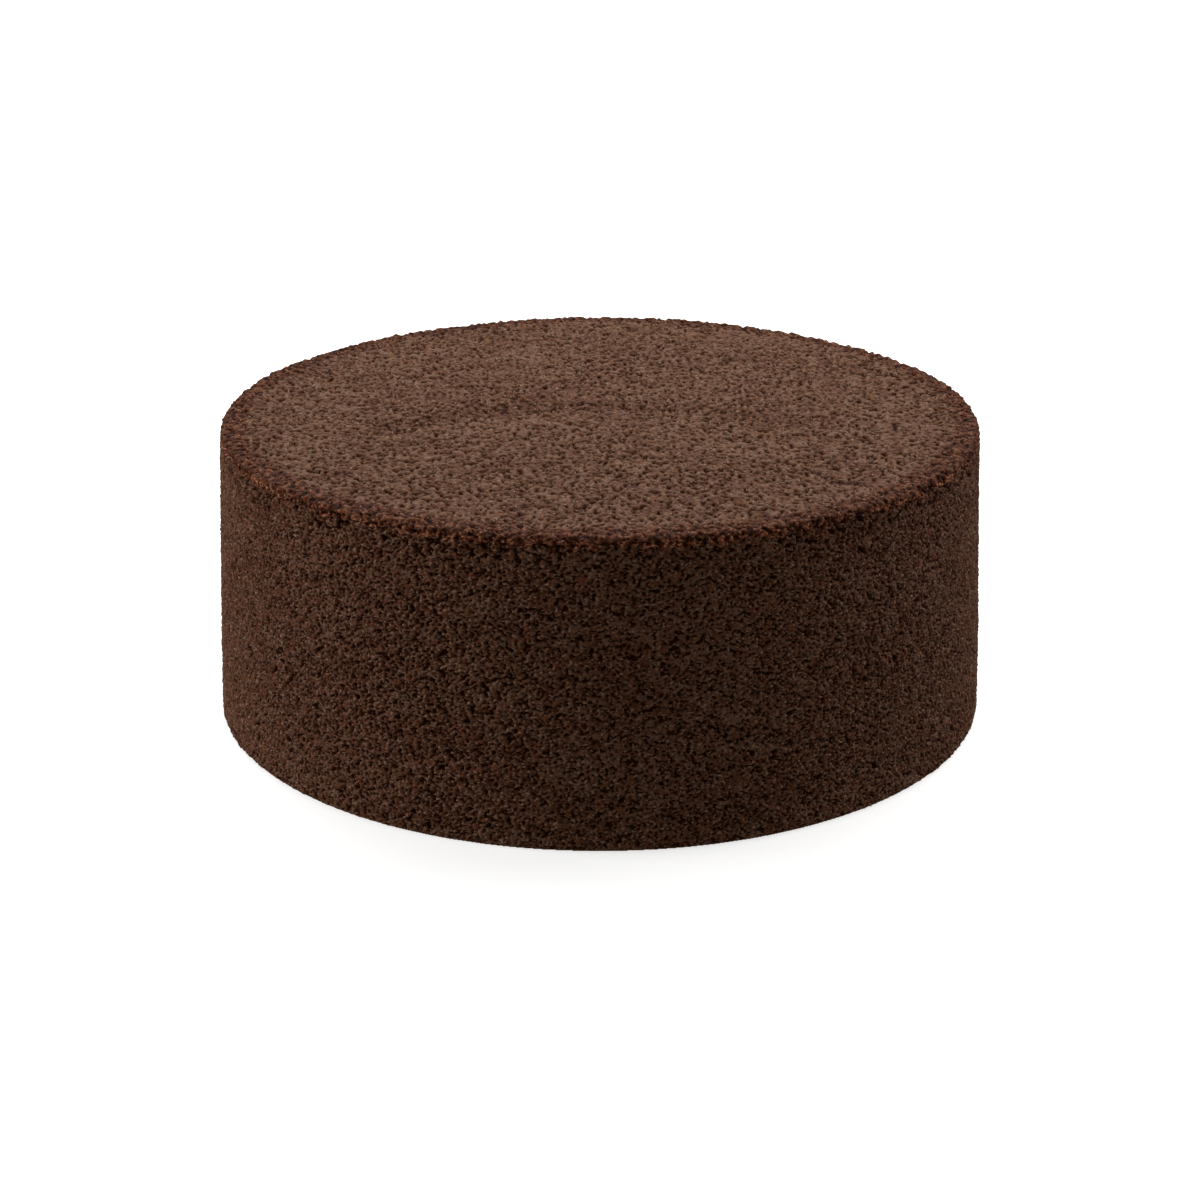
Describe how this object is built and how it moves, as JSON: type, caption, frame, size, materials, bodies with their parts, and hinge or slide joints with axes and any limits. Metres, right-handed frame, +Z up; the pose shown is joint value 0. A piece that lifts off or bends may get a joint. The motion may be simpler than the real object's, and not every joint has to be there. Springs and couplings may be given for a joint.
{
  "type": "chocolate mud cake",
  "caption": "Whole round chocolate mud cake, low and straight-sided with a nearly flat top and a soft rim, coated all over in fine chocolate crumbs.",
  "frame": {"origin": "centre of the flat base that the cake rests on", "axes": "+Z up along the cake's axis; +X to the right and -Y to the front as pictured, though the cake is round and looks alike all the way round"},
  "size_m": [0.2192, 0.2186, 0.0849],
  "materials": {
    "chocolate_crumb": "matt, rough baked crumb of dark brown chocolate"
  },
  "bodies": {
    "root": {"mud_cake": "chocolate_crumb"}
  },
  "joints": []
}
